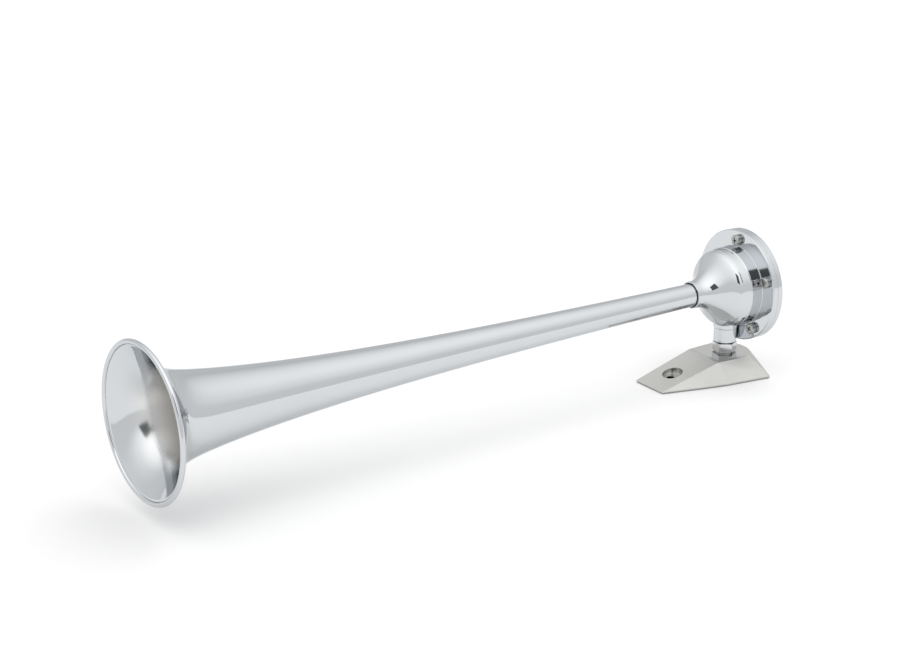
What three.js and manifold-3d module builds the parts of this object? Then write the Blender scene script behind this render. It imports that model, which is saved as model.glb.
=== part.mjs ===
// Single trumpet air horn on a wedge base, in millimetres.
// +Z is up and the bell faces -Y. The origin lies on the underside of the mounting gasket.
import * as THREE from 'three';
import { mergeVertices } from 'three/addons/utils/BufferGeometryUtils.js';
import { ConvexGeometry } from 'three/addons/geometries/ConvexGeometry.js';
import Module from 'manifold-3d';

const wasm = await Module();
wasm.setup();

// Where the main axes lie
const axisHeight = 77.6;
const stemSetback = 28.2;

// Clearances between pieces, and the overrun of every cut
const seatGap = 0.1;
const fitGap = 0.15;
const runGap = 0.3;
const overrun = 1;

// Trumpet: a long taper, a short flare and a rolled rim
const bellRadius = 64.8;
const rimRadius = 2.2;
const trumpetWall = 1.1;
const bellReach = 575.2;
const taperEndRadius = 7.3;
const taperSpread = 35.6;
const taperLength = 170;
const taperPowerShare = 0.806;
const flareLength = 12;
const flareSpan = 22;
const flarePowerShare = 1.3;

// Driver housing: neck, dome, shoulder, drum and flange
const neckRadius = 12.1;
const neckReach = 42.3;
const neckRun = 4.3;
const domeRadius = 33.2;
const domeSetoff = 9.6;
const shoulderStep = 0.5;
const shoulderRadius = 34.4;
const drumRadius = 35;
const drumSetoff = 1.6;
const flangeSetback = 10.3;
const flangeThickness = 5.3;
const discRadius = 49.3;
const discChamfer = 1;
const edgeChamfer = 0.5;
const filletSize = 0.6;

// Inside the housing: socket, nozzle bore, air chamber and diaphragm recess
const socketDepth = 22;
const sealLength = 2.8;
const sealWidth = 0.8;
const nozzleBoreRadius = 8.75;
const chamberRadius = 30;
const chamberDepth = 17.4;
const recessRadius = 37.4;
const recessDepth = 2.2;

// Nozzle, diaphragm and its gaskets
const nozzleRadius = 8.6;
const nozzleThroatRadius = 5;
const nozzleMouthRadius = 7.9;
const diaphragmThickness = 0.5;
const diaphragmLift = 0.3;
const gasketSheet = 0.6;

// Back cover
const coverThickness = 5.3;
const coverPocketDepth = 2;
const panelRadius = 31;
const panelDepth = 0.8;

// Cover screws and their spring washers
const screwCircleRadius = 41.3;
const screwAnglesInDegrees = [90, 18, -54, -126, 162];
const screwHeadRadius = 4.75;
const screwHeadHeight = 3.2;
const screwHeadRound = 0.9;
const screwShankRadius = 2.4;
const screwEndFloor = 1.4;
const crossWidth = 1.1;
const crossSpan = 5.2;
const crossDepth = 2.2;
const screwWasherThickness = 0.9;
const screwWasherRadius = 4.3;
const screwWasherBore = 2.55;
const springWasherSlitInDegrees = 9;

// Boss under the housing, hollow stem and lock nut
const bossRadius = 10.6;
const bossDrop = 37;
const bossChamfer = 0.6;
const stemCollarRadius = 10.1;
const stemCollarHeight = 12.6;
const stemThreadRadius = 6.6;
const stemPlugLength = 6.2;
const stemNippleLength = 20.3;
const stemBoreRadius = 4;
const stemChamfer = 0.6;
const nutAcrossFlats = 19;
const nutHeight = 7.6;
const nutChamfer = 0.9;
const nutTurnInDegrees = 25;
const nutWasherThickness = 1.2;
const nutWasherRadius = 9.1;

// Base casting and its gasket
const baseLength = 113;
const baseWidth = 80;
const plateauHeight = 18;
const plateauWidth = 43;
const lipHeight = 1;
const baseWall = 3.5;
const gasketThickness = 1.2;
const gasketInset = 0.6;
const rearBulge = 9;
const plateauRearBulge = 12.3;
const stemSeatDepth = 10.6;
const inletRadius = 5.9;
const threadBossRadius = 10.5;
const ribWidth = 4;
const screwHoleRadius = 3.5;
const screwHoleSetback = 32.5;
const screwSeatRadius = 8.2;
const screwSeatShift = 2.8;
const screwSeatHeight = 3.5;

// Outlines as shares of the sizes above: place along the length, then share of the half width
const baseFrontWidthShare = 0.4475;
const baseSideShares = [[0, baseFrontWidthShare], [0.33, 0.7125], [0.54, 0.855], [0.92, 1]];
const plateauSideShares = [[0.543, 0.935], [0.66, 0.98], [0.841, 1]];
const ogeeHandleShares = [[0.57, 0.02], [0.77, 1.01]];
const pocketFrontShare = 0.36;

// Smoothness
const roundSteps = 48;
const smallSteps = 24;
const screwSteps = 16;
const springWasherSteps = 12;
const flareSteps = 7;
const taperSteps = 11;
const taperCrowdingShare = 1.3;
const rimSteps = 8;
const ogeeSteps = 10;
const arcSteps = 10;
const roundingSteps = 3;

const degree = Math.PI / 180;

// Finishes
const chrome = { color: 0xd9dde2, metalness: 1, roughness: 0.08 };
const satinNickel = { color: 0xc4c3bd, metalness: 0.9, roughness: 0.35 };
const brass = { color: 0xc9a45a, metalness: 1, roughness: 0.3 };
const springSteel = { color: 0x8f9499, metalness: 1, roughness: 0.35 };
const rubber = { color: 0x1c1c1d, metalness: 0, roughness: 0.85 };
const greyRubber = { color: 0x8c8d8e, metalness: 0, roughness: 0.85 };
const fibre = { color: 0x6b4a35, metalness: 0, roughness: 0.9 };

// A closed three.js geometry becomes a solid that can be joined and cut
function toSolid(geometry) {
  const bare = geometry.index ? geometry.toNonIndexed() : geometry.clone();
  bare.deleteAttribute('normal');
  bare.deleteAttribute('uv');
  const merged = mergeVertices(bare, seatGap / 1000);
  const index = merged.index.array;
  const triangles = [];
  for (let i = 0; i < index.length; i += 3) {
    const [a, b, c] = [index[i], index[i + 1], index[i + 2]];
    if (a !== b && b !== c && c !== a) triangles.push(a, b, c);
  }
  return new wasm.Manifold(new wasm.Mesh({
    numProp: 3,
    vertProperties: new Float32Array(merged.attributes.position.array),
    triVerts: new Uint32Array(triangles),
  }));
}

function makeMesh(name, solid, finish) {
  const data = solid.getMesh();
  const geometry = new THREE.BufferGeometry();
  geometry.setAttribute('position', new THREE.BufferAttribute(data.vertProperties, 3));
  geometry.setIndex(new THREE.BufferAttribute(data.triVerts, 1));
  geometry.computeVertexNormals();
  const mesh = new THREE.Mesh(geometry, new THREE.MeshStandardMaterial(finish));
  mesh.name = name;
  return mesh;
}

// A profile of [radius, place] points turned round the Y axis. It closes on itself.
function turnedGeometry(profile, steps) {
  const points = [...profile, profile[0]].map(([r, y]) => new THREE.Vector2(r, y));
  return new THREE.LatheGeometry(points, steps);
}

function turned(profile, steps) {
  return toSolid(turnedGeometry(profile, steps));
}

// The same, turned round the Z axis
function turnedUpright(profile, steps) {
  return toSolid(turnedGeometry(profile, steps).rotateX(90 * degree));
}

function uprightRod(radius, low, high, steps) {
  return turnedUpright([[0, low], [radius, low], [radius, high], [0, high]], steps);
}

function rod(radius, low, high, steps) {
  return turned([[0, low], [radius, low], [radius, high], [0, high]], steps);
}

// Trumpet
function taperRadius(fromBell) {
  return taperEndRadius + taperSpread * Math.exp(-((fromBell / taperLength) ** taperPowerShare));
}

function flareShare(fromBell) {
  return Math.exp(-((fromBell / flareLength) ** flarePowerShare));
}

const rimCentreRadius = bellRadius - rimRadius;
const flareMeetAngle = 165 * degree;
const flareMeetPlace = rimRadius * Math.sin(flareMeetAngle);
const flareMeetRadius = rimCentreRadius + rimRadius * Math.cos(flareMeetAngle);
const flareHeight = (flareMeetRadius - taperRadius(flareMeetPlace)) / flareShare(flareMeetPlace);
const trumpetLength = bellReach - neckReach + socketDepth - seatGap;

function trumpetRadius(fromBell) {
  return taperRadius(fromBell) + flareHeight * flareShare(fromBell);
}

// Where the rows of the trumpet lie, from the bell to the narrow end
function trumpetPlaces() {
  const places = [];
  for (let i = 0; i < flareSteps; i += 1) {
    places.push(flareMeetPlace + (flareSpan - flareMeetPlace) * (i / flareSteps));
  }
  for (let i = 0; i <= taperSteps; i += 1) {
    places.push(flareSpan + (trumpetLength - flareSpan) * (i / taperSteps) ** taperCrowdingShare);
  }
  return places;
}

function trumpetOutline() {
  const outer = [];
  const inner = [];
  const probe = seatGap / 100;
  for (const place of trumpetPlaces()) {
    const radius = trumpetRadius(place);
    const slope = (trumpetRadius(place + probe) - radius) / probe;
    const lean = Math.atan(slope);
    outer.push([radius, place]);
    inner.push([radius - trumpetWall * Math.cos(lean), place + trumpetWall * Math.sin(lean)]);
  }
  const last = inner.length - 1;
  inner[last] = [outer[last][0] - trumpetWall, trumpetLength];
  const rim = [];
  const innerMeetAngle = -176 * degree;
  for (let i = 1; i <= rimSteps; i += 1) {
    const angle = flareMeetAngle + (innerMeetAngle - flareMeetAngle) * (i / rimSteps);
    rim.push([rimCentreRadius + rimRadius * Math.cos(angle), rimRadius * Math.sin(angle)]);
  }
  return [...outer.reverse(), ...rim, ...inner.slice(1)];
}

function makeTrumpet() {
  const profile = trumpetOutline().map(([r, y]) => [r, y - bellReach]);
  return makeMesh('trumpet', turned(profile.reverse(), roundSteps), chrome);
}

// Housing
const flangeBack = flangeSetback + flangeThickness;
const socketRadius = taperRadius(bellReach - neckReach) + fitGap;
const socketEnd = socketDepth - neckReach;
const sealBoreRadius = socketRadius + sealWidth;
const recessFloor = flangeBack - recessDepth;
const chamberFront = recessFloor - chamberDepth;

function housingOutline() {
  const run = neckReach - neckRun - domeSetoff;
  const rise = domeRadius - neckRadius;
  const handles = ogeeHandleShares.map(([along, up]) => (
    new THREE.Vector2(neckRadius + rise * up, neckRun - neckReach + run * along)));
  const ogee = new THREE.CubicBezierCurve(
    new THREE.Vector2(neckRadius, neckRun - neckReach), ...handles, new THREE.Vector2(domeRadius, -domeSetoff));
  return [
    [0, -neckReach],
    [neckRadius - edgeChamfer, -neckReach],
    [neckRadius, edgeChamfer - neckReach],
    ...ogee.getPoints(ogeeSteps).map((point) => [point.x, point.y]),
    [domeRadius + shoulderStep, shoulderStep - domeSetoff],
    [shoulderRadius, -drumSetoff],
    [drumRadius, drumRadius - shoulderRadius - drumSetoff],
    [drumRadius, flangeSetback - filletSize],
    [drumRadius + filletSize, flangeSetback],
    [discRadius - discChamfer, flangeSetback],
    [discRadius, flangeSetback + discChamfer],
    [discRadius, flangeBack],
    [0, flangeBack],
  ];
}

function housingCavity() {
  return [
    [0, -neckReach - overrun],
    [sealBoreRadius, -neckReach - overrun],
    [sealBoreRadius, sealLength - neckReach],
    [socketRadius, sealLength - neckReach],
    [socketRadius, socketEnd],
    [nozzleBoreRadius, socketEnd],
    [nozzleBoreRadius, chamberFront],
    [chamberRadius, chamberFront],
    [chamberRadius, recessFloor],
    [recessRadius, recessFloor],
    [recessRadius, flangeBack + overrun],
    [0, flangeBack + overrun],
  ];
}

function atScrew(angleInDegrees, solid) {
  const angle = angleInDegrees * degree;
  return solid.translate([screwCircleRadius * Math.cos(angle), 0, screwCircleRadius * Math.sin(angle)]);
}

function makeHousing() {
  const boss = turnedUpright([
    [0, -bossDrop],
    [bossRadius - bossChamfer, -bossDrop],
    [bossRadius, bossChamfer - bossDrop],
    [bossRadius, 0],
    [0, 0],
  ], roundSteps);
  let body = turned(housingOutline(), roundSteps).add(boss);
  body = body.subtract(turned(housingCavity(), roundSteps));
  const boreTop = 2 * overrun - chamberRadius;
  body = body.subtract(uprightRod(stemThreadRadius + fitGap, -bossDrop - overrun, boreTop, smallSteps));
  for (const angle of screwAnglesInDegrees) {
    const hole = rod(screwShankRadius + runGap, flangeSetback - overrun, flangeBack + overrun, screwSteps);
    body = body.subtract(atScrew(angle, hole));
  }
  return makeMesh('driver_housing', body, chrome);
}

// Pieces inside the driver
const frontGasketBack = recessFloor + seatGap + gasketSheet;
const diaphragmFront = frontGasketBack + seatGap;
const diaphragmBack = diaphragmFront + diaphragmThickness;
const rearGasketFront = diaphragmBack + diaphragmLift + seatGap;
const coverFront = flangeBack + seatGap;
const sheetRadius = recessRadius - runGap;

function ringOutline(inner, outer, low, high) {
  return [[inner, low], [outer, low], [outer, high], [inner, high]];
}

function makeSealRing() {
  const inner = taperRadius(bellReach - neckReach) + fitGap;
  const outline = ringOutline(inner, sealBoreRadius - fitGap, runGap - neckReach, sealLength - seatGap - neckReach);
  return makeMesh('trumpet_seal', turned(outline, roundSteps), rubber);
}

function makeNozzle() {
  const front = socketEnd + seatGap;
  const back = frontGasketBack;
  return makeMesh('nozzle', turned([
    [nozzleMouthRadius, front],
    [nozzleRadius, front],
    [nozzleRadius, back],
    [nozzleThroatRadius, back],
    [nozzleThroatRadius, chamberFront],
  ], smallSteps), brass);
}

function makeFrontGasket() {
  const outline = ringOutline(chamberRadius, sheetRadius, recessFloor + seatGap, frontGasketBack);
  return makeMesh('front_gasket', turned(outline, roundSteps), fibre);
}

function makeDiaphragm() {
  const rib = diaphragmThickness / 2;
  const ribRadius = nozzleRadius * 2;
  return makeMesh('diaphragm', turned([
    [0, diaphragmFront],
    [sheetRadius, diaphragmFront],
    [sheetRadius, diaphragmBack],
    [ribRadius + rib * 2, diaphragmBack],
    [ribRadius + rib, diaphragmBack + rib],
    [ribRadius, diaphragmBack],
    [0, diaphragmBack],
  ], roundSteps), springSteel);
}

function makeRearGasket() {
  const outline = ringOutline(chamberRadius, sheetRadius, rearGasketFront, coverFront - seatGap);
  return makeMesh('rear_gasket', turned(outline, roundSteps), fibre);
}

// Back cover
const coverBack = coverFront + coverThickness;
const shankLength = coverBack - screwEndFloor - flangeSetback;

function makeCover() {
  let body = turned([
    [0, coverFront + coverPocketDepth],
    [chamberRadius - coverPocketDepth, coverFront + coverPocketDepth],
    [chamberRadius, coverFront],
    [discRadius, coverFront],
    [discRadius, coverBack - discChamfer],
    [discRadius - discChamfer, coverBack],
    [panelRadius, coverBack],
    [panelRadius - panelDepth, coverBack - panelDepth],
    [0, coverBack - panelDepth],
  ], roundSteps);
  for (const angle of screwAnglesInDegrees) {
    const hole = rod(screwShankRadius + fitGap, coverFront - overrun, flangeSetback + shankLength + seatGap, screwSteps);
    body = body.subtract(atScrew(angle, hole));
  }
  return makeMesh('back_cover', body, chrome);
}

// A C-shaped spring washer, turned round the Y axis, from low to high
function springWasher(bore, radius, low, high, steps) {
  const slit = springWasherSlitInDegrees * degree;
  const outline = new THREE.Shape();
  outline.absarc(0, 0, radius, slit, 2 * Math.PI, false);
  outline.absarc(0, 0, bore, 2 * Math.PI, slit, true);
  const options = { depth: high - low, bevelEnabled: false, curveSegments: steps };
  return toSolid(new THREE.ExtrudeGeometry(outline, options).rotateX(90 * degree).translate(0, high, 0));
}

function makeScrew(number, angle) {
  const under = flangeSetback - screwWasherThickness - 2 * seatGap;
  const top = under - screwHeadHeight;
  const tip = flangeSetback + shankLength;
  const rounding = [];
  for (let i = 0; i <= roundingSteps; i += 1) {
    const lean = 90 * degree * (i / roundingSteps);
    rounding.push([
      screwHeadRadius - screwHeadRound * (1 - Math.sin(lean)),
      top + screwHeadRound * (1 - Math.cos(lean)),
    ]);
  }
  let body = turned([
    [0, top],
    ...rounding,
    [screwHeadRadius, under],
    [screwShankRadius, under],
    [screwShankRadius, tip - edgeChamfer],
    [screwShankRadius - edgeChamfer, tip],
    [0, tip],
  ], screwSteps);
  const slotDepth = crossDepth + overrun;
  for (const turn of [45, 135]) {
    const slot = new THREE.BoxGeometry(crossSpan, slotDepth, crossWidth).rotateY(turn * degree);
    body = body.subtract(toSolid(slot.translate(0, top + crossDepth - slotDepth / 2, 0)));
  }
  return makeMesh(`cover_screw_${number}`, atScrew(angle, body), chrome);
}

function makeScrewWasher(number, angle) {
  const high = flangeSetback - seatGap;
  const body = springWasher(screwWasherBore, screwWasherRadius, high - screwWasherThickness, high, springWasherSteps);
  return makeMesh(`cover_screw_washer_${number}`, atScrew(angle, body), springSteel);
}

// Stem, lock nut and lock washer, round the stem axis, with heights from the horn axis
const collarTop = -bossDrop - seatGap;
const collarLow = collarTop - stemCollarHeight;
const plateauTop = plateauHeight - axisHeight;

function makeStem() {
  const nippleEnd = collarLow - stemNippleLength;
  return makeMesh('stem', turnedUpright([
    [stemBoreRadius, nippleEnd],
    [stemThreadRadius - stemChamfer, nippleEnd],
    [stemThreadRadius, nippleEnd + stemChamfer],
    [stemThreadRadius, collarLow],
    [stemCollarRadius - stemChamfer, collarLow],
    [stemCollarRadius, collarLow + stemChamfer],
    [stemCollarRadius, collarTop],
    [stemThreadRadius, collarTop],
    [stemThreadRadius, collarTop + stemPlugLength],
    [stemBoreRadius, collarTop + stemPlugLength],
  ], roundSteps), chrome);
}

function makeLockWasher() {
  const low = plateauTop + seatGap;
  const ring = springWasher(stemThreadRadius + runGap, nutWasherRadius, low, low + nutWasherThickness, smallSteps);
  return makeMesh('lock_washer', ring.rotate([90, 0, 0]), springSteel);
}

function makeLockNut() {
  const low = plateauTop + nutWasherThickness + 2 * seatGap;
  const high = low + nutHeight;
  const cornerRadius = nutAcrossFlats / 2 / Math.cos(30 * degree);
  const prism = new THREE.CylinderGeometry(cornerRadius, cornerRadius, nutHeight, 6);
  prism.rotateX(90 * degree).rotateZ(nutTurnInDegrees * degree).translate(0, 0, (low + high) / 2);
  const coneRise = nutChamfer / 2;
  const chamfers = turnedUpright([
    [0, low],
    [cornerRadius - nutChamfer, low],
    [cornerRadius, low + coneRise],
    [cornerRadius, high - coneRise],
    [cornerRadius - nutChamfer, high],
    [0, high],
  ], roundSteps);
  const bore = uprightRod(stemThreadRadius + fitGap, low - overrun, high + overrun, smallSteps);
  return makeMesh('lock_nut', toSolid(prism).intersect(chamfers).subtract(bore), chrome);
}

// Base casting and gasket. Their front end is half the length ahead of the origin.
const baseFront = -baseLength / 2;

function sideOutline(shares, halfWidth) {
  return shares.map(([along, across]) => [halfWidth * across, baseFront + baseLength * along]);
}

// Half of the outline, then a bulging rear edge, then the other half
function fullOutline(side, bulge) {
  const [cornerX, cornerY] = side[side.length - 1];
  const arcRadius = (cornerX ** 2 + bulge ** 2) / (2 * bulge);
  const arcCentre = cornerY + bulge - arcRadius;
  const sweep = Math.atan2(cornerX, cornerY - arcCentre);
  const rear = [];
  for (let i = 1; i < arcSteps; i += 1) {
    const angle = sweep * (1 - 2 * (i / arcSteps));
    rear.push([arcRadius * Math.sin(angle), arcCentre + arcRadius * Math.cos(angle)]);
  }
  return [...side, ...rear, ...side.map(([x, y]) => [-x, y]).reverse()];
}

const footprint = fullOutline(sideOutline(baseSideShares, baseWidth / 2), rearBulge);
const plateau = fullOutline(sideOutline(plateauSideShares, plateauWidth / 2), plateauRearBulge);

function layer(outline, height, inset) {
  return outline.map(([x, y]) => {
    const reach = Math.hypot(x, y);
    const share = (reach - inset) / reach;
    return new THREE.Vector3(x * share, y * share, height);
  });
}

function makeBase() {
  const hull = new ConvexGeometry([
    ...layer(footprint, gasketThickness, 0),
    ...layer(footprint, gasketThickness + lipHeight, 0),
    ...layer(plateau, plateauHeight, 0),
  ]);
  const under = -overrun;
  const pocketFront = baseFront + baseLength * pocketFrontShare;
  const hollow = toSolid(new ConvexGeometry([
    ...layer(footprint, under, baseWall),
    ...layer(footprint, gasketThickness, baseWall),
    ...layer(plateau, plateauHeight - baseWall, baseWall),
  ]));
  const kept = new THREE.BoxGeometry(baseWidth, baseLength, 2 * axisHeight);
  kept.translate(0, pocketFront - baseLength / 2, 0);
  const rib = new THREE.BoxGeometry(baseWidth, ribWidth, 2 * axisHeight).translate(0, stemSetback, 0);
  const threadBoss = uprightRod(threadBossRadius, -axisHeight, axisHeight, smallSteps)
    .translate([0, stemSetback, 0]);
  const pocket = hollow.subtract(toSolid(kept)).subtract(toSolid(rib)).subtract(threadBoss);
  const seatFloor = plateauHeight - stemSeatDepth;
  const top = plateauHeight + overrun;
  const stemSeat = uprightRod(stemThreadRadius + fitGap, seatFloor, top, smallSteps);
  const inlet = uprightRod(inletRadius, under, seatFloor + overrun, smallSteps);
  const screwHole = uprightRod(screwHoleRadius, under, top, smallSteps);
  const screwSeat = uprightRod(screwSeatRadius, screwSeatHeight, top, smallSteps)
    .translate([0, screwSeatShift, 0]);
  const body = toSolid(hull)
    .subtract(pocket)
    .subtract(stemSeat.add(inlet).translate([0, stemSetback, 0]))
    .subtract(screwHole.add(screwSeat).translate([0, -screwHoleSetback, 0]));
  return makeMesh('base', body, satinNickel);
}

function makeBaseGasket() {
  const sheet = toSolid(new ConvexGeometry([
    ...layer(footprint, 0, gasketInset),
    ...layer(footprint, gasketThickness - seatGap, gasketInset),
  ]));
  const top = gasketThickness + overrun;
  const inletHole = uprightRod(inletRadius + runGap, -overrun, top, smallSteps);
  const screwHole = uprightRod(screwHoleRadius + runGap, -overrun, top, smallSteps);
  const body = sheet
    .subtract(inletHole.translate([0, stemSetback, 0]))
    .subtract(screwHole.translate([0, -screwHoleSetback, 0]));
  return makeMesh('base_gasket', body, greyRubber);
}

// Assembly
const horn = new THREE.Group();
horn.position.set(0, stemSetback, axisHeight);
horn.add(makeTrumpet(), makeSealRing(), makeHousing(), makeNozzle());
horn.add(makeFrontGasket(), makeDiaphragm(), makeRearGasket(), makeCover());
screwAnglesInDegrees.forEach((angle, i) => {
  horn.add(makeScrew(i + 1, angle), makeScrewWasher(i + 1, angle));
});
horn.add(makeStem(), makeLockNut(), makeLockWasher());

const group = new THREE.Group();
group.add(makeBaseGasket(), makeBase(), horn);
export default group;
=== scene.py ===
import math

import bmesh
import bpy
from mathutils import Matrix, Vector


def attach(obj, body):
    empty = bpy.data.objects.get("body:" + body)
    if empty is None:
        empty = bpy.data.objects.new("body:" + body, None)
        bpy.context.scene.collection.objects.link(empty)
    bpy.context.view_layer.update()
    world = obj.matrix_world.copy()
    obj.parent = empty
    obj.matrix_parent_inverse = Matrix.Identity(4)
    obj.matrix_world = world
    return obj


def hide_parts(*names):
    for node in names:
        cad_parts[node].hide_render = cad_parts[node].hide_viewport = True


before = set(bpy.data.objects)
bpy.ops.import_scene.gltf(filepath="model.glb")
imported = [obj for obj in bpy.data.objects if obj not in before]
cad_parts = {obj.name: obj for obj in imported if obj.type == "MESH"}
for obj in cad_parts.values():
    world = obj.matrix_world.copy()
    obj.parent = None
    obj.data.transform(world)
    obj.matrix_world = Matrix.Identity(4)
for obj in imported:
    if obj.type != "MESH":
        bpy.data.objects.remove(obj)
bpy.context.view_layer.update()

mm = 0.001
hornBody = "horn_body"

# The horn axis runs along Y and the stem axis along Z, and they cross at one point.
layout = {
    "axisHeight": 77.6,
    "stemSetback": 28.2,
    "aroundSteps": 192,
    "cornerSteps": 4,
    "seatGap": 0.1,
    "sharpAngle": 34,
    "tiny": 1e-6,
}
crossing = Vector((0, layout["stemSetback"], layout["axisHeight"])) * mm
seatGap = layout["seatGap"]


# Mesh helpers

def softProfile(corners):
    # corners are (radius, place) or (radius, place, size of the rounding)
    points = []
    for i, corner in enumerate(corners):
        place = Vector(corner[:2])
        if len(corner) == 2:
            points.append(place)
            continue
        before = Vector(corners[i - 1][:2]) - place
        after = Vector(corners[(i + 1) % len(corners)][:2]) - place
        start = place + before.normalized() * corner[2]
        end = place + after.normalized() * corner[2]
        for j in range(layout["cornerSteps"] + 1):
            t = j / layout["cornerSteps"]
            points.append(start * (1 - t) ** 2 + place * (2 * t * (1 - t)) + end * t ** 2)
    return [tuple(point) for point in points]


def turnedMesh(name, profile, axis="y", steps=None, wave=None):
    # turns a closed profile, in millimetres from the crossing, round the horn axis or the stem axis
    steps = steps or layout["aroundSteps"]
    shape = bmesh.new()
    rings = []
    for radius, place in profile:
        if radius < layout["tiny"]:
            rings.append([shape.verts.new((0, place, 0) if axis == "y" else (0, 0, place))])
            continue
        ring = []
        for i in range(steps):
            angle = 2 * math.pi * i / steps
            reach = radius + (wave(angle, place) if wave else 0)
            across, up = reach * math.cos(angle), reach * math.sin(angle)
            ring.append(shape.verts.new((across, place, up) if axis == "y" else (across, up, place)))
        rings.append(ring)
    for first, second in zip(rings, rings[1:] + rings[:1]):
        if len(first) == 1 and len(second) == 1:
            continue
        for i in range(steps):
            j = (i + 1) % steps
            if len(first) == 1:
                shape.faces.new((first[0], second[j], second[i]))
            elif len(second) == 1:
                shape.faces.new((first[i], first[j], second[0]))
            else:
                shape.faces.new((first[i], first[j], second[j], second[i]))
    shape.normal_update()
    bmesh.ops.recalc_face_normals(shape, faces=shape.faces)
    mesh = bpy.data.meshes.new(name)
    shape.to_mesh(mesh)
    shape.free()
    mesh.transform(Matrix.Diagonal((mm, mm, mm, 1)))
    return mesh


def newObject(name, mesh):
    item = bpy.data.objects.new(name, mesh)
    bpy.context.scene.collection.objects.link(item)
    return item


def placed(mesh, offset):
    mesh.transform(Matrix.Translation(offset))
    return mesh


def appliedMesh(item, name):
    # the mesh as its modifiers leave it
    bpy.context.view_layer.update()
    view = bpy.context.evaluated_depsgraph_get()
    mesh = bpy.data.meshes.new_from_object(item.evaluated_get(view))
    mesh.name = name
    return mesh


def bakeModifiers(item):
    mesh = appliedMesh(item, item.name)
    item.modifiers.clear()
    item.data = mesh
    return item


def combine(item, other, operation):
    joint = item.modifiers.new(operation.lower(), "BOOLEAN")
    joint.operation = operation
    joint.solver = "EXACT"
    joint.object = other
    bakeModifiers(item)
    bpy.data.objects.remove(other)


def smoothFaces(item):
    # large faces keep their flat normals, so that they mirror as flat plates do
    item.data.shade_smooth()
    item.data.set_sharp_from_angle(angle=math.radians(layout["sharpAngle"]))
    weighted = item.modifiers.new("flatFaces", "WEIGHTED_NORMAL")
    weighted.mode = "FACE_AREA"
    weighted.keep_sharp = True
    bakeModifiers(item)


def dress(item, material, slot, body, *nodes):
    item.data.materials.clear()
    item.data.materials.append(material)
    smoothFaces(item)
    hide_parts(*nodes)
    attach(item, body)


# Node helpers

def addNode(tree, kind, inputs=None, **settings):
    node = tree.nodes.new(kind)
    for key, value in settings.items():
        setattr(node, key, value)
    for key, value in (inputs or {}).items():
        if isinstance(value, bpy.types.NodeSocket):
            tree.links.new(value, node.inputs[key])
        else:
            node.inputs[key].default_value = value
    return node


def calc(tree, operation, first, second=0.0, clamp=False):
    node = addNode(tree, "ShaderNodeMath", {0: first, 1: second}, operation=operation, use_clamp=clamp)
    return node.outputs[0]


def remap(tree, value, low, high, outLow, outHigh):
    inputs = {"Value": value, "From Min": low, "From Max": high, "To Min": outLow, "To Max": outHigh}
    return addNode(tree, "ShaderNodeMapRange", inputs).outputs["Result"]


def mixColour(tree, factor, first, second):
    node = addNode(tree, "ShaderNodeMix", data_type="RGBA")
    for index, value in ((0, factor), (6, first), (7, second)):
        if isinstance(value, bpy.types.NodeSocket):
            tree.links.new(value, node.inputs[index])
        else:
            node.inputs[index].default_value = value
    return node.outputs[2]


def noise(tree, vector, scale, detail=2.0, roughness=0.5):
    inputs = {"Vector": vector, "Scale": scale, "Detail": detail, "Roughness": roughness}
    return addNode(tree, "ShaderNodeTexNoise", inputs).outputs["Fac"]


def newGroup(name, kind, inputs, outputs):
    tree = bpy.data.node_groups.new(name, kind)
    for label, socketType, value in inputs:
        socket = tree.interface.new_socket(name=label, in_out="INPUT", socket_type=socketType)
        if value is not None:
            socket.default_value = value
    for label, socketType in outputs:
        tree.interface.new_socket(name=label, in_out="OUTPUT", socket_type=socketType)
    return tree, tree.nodes.new("NodeGroupInput"), tree.nodes.new("NodeGroupOutput")


# Shared effects

def buildHandlingMarks():
    # cloudy haze and fine wiping lines, as a roughness and a bump height
    s = {
        "cloudDetail": 3.0, "cloudRoughness": 0.55, "lineStretch": (1.0, 0.06, 1.0), "lineDetail": 2.0,
        "darkest": 0.3, "brightest": 0.7,
    }
    tree, given, result = newGroup("handlingMarks", "ShaderNodeTree", [
        ("Cloud Size", "NodeSocketFloat", 30.0),
        ("Line Size", "NodeSocketFloat", 700.0),
        ("Lowest", "NodeSocketFloat", 0.03),
        ("Highest", "NodeSocketFloat", 0.09),
        ("Lines", "NodeSocketFloat", 0.3),
    ], [("Roughness", "NodeSocketFloat"), ("Height", "NodeSocketFloat")])
    place = addNode(tree, "ShaderNodeTexCoord").outputs["Object"]
    cloud = noise(tree, place, given.outputs["Cloud Size"], s["cloudDetail"], s["cloudRoughness"])
    stretched = addNode(tree, "ShaderNodeMapping", {"Vector": place, "Scale": s["lineStretch"]})
    lines = noise(tree, stretched.outputs["Vector"], given.outputs["Line Size"], s["lineDetail"])
    lineShare = calc(tree, "MULTIPLY", lines, given.outputs["Lines"])
    cloudShare = calc(tree, "MULTIPLY", cloud, calc(tree, "SUBTRACT", 1.0, given.outputs["Lines"]))
    both = calc(tree, "ADD", lineShare, cloudShare)
    low, high = given.outputs["Lowest"], given.outputs["Highest"]
    rough = remap(tree, both, s["darkest"], s["brightest"], low, high)
    tree.links.new(rough, result.inputs["Roughness"])
    tree.links.new(both, result.inputs["Height"])
    return tree


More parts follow.
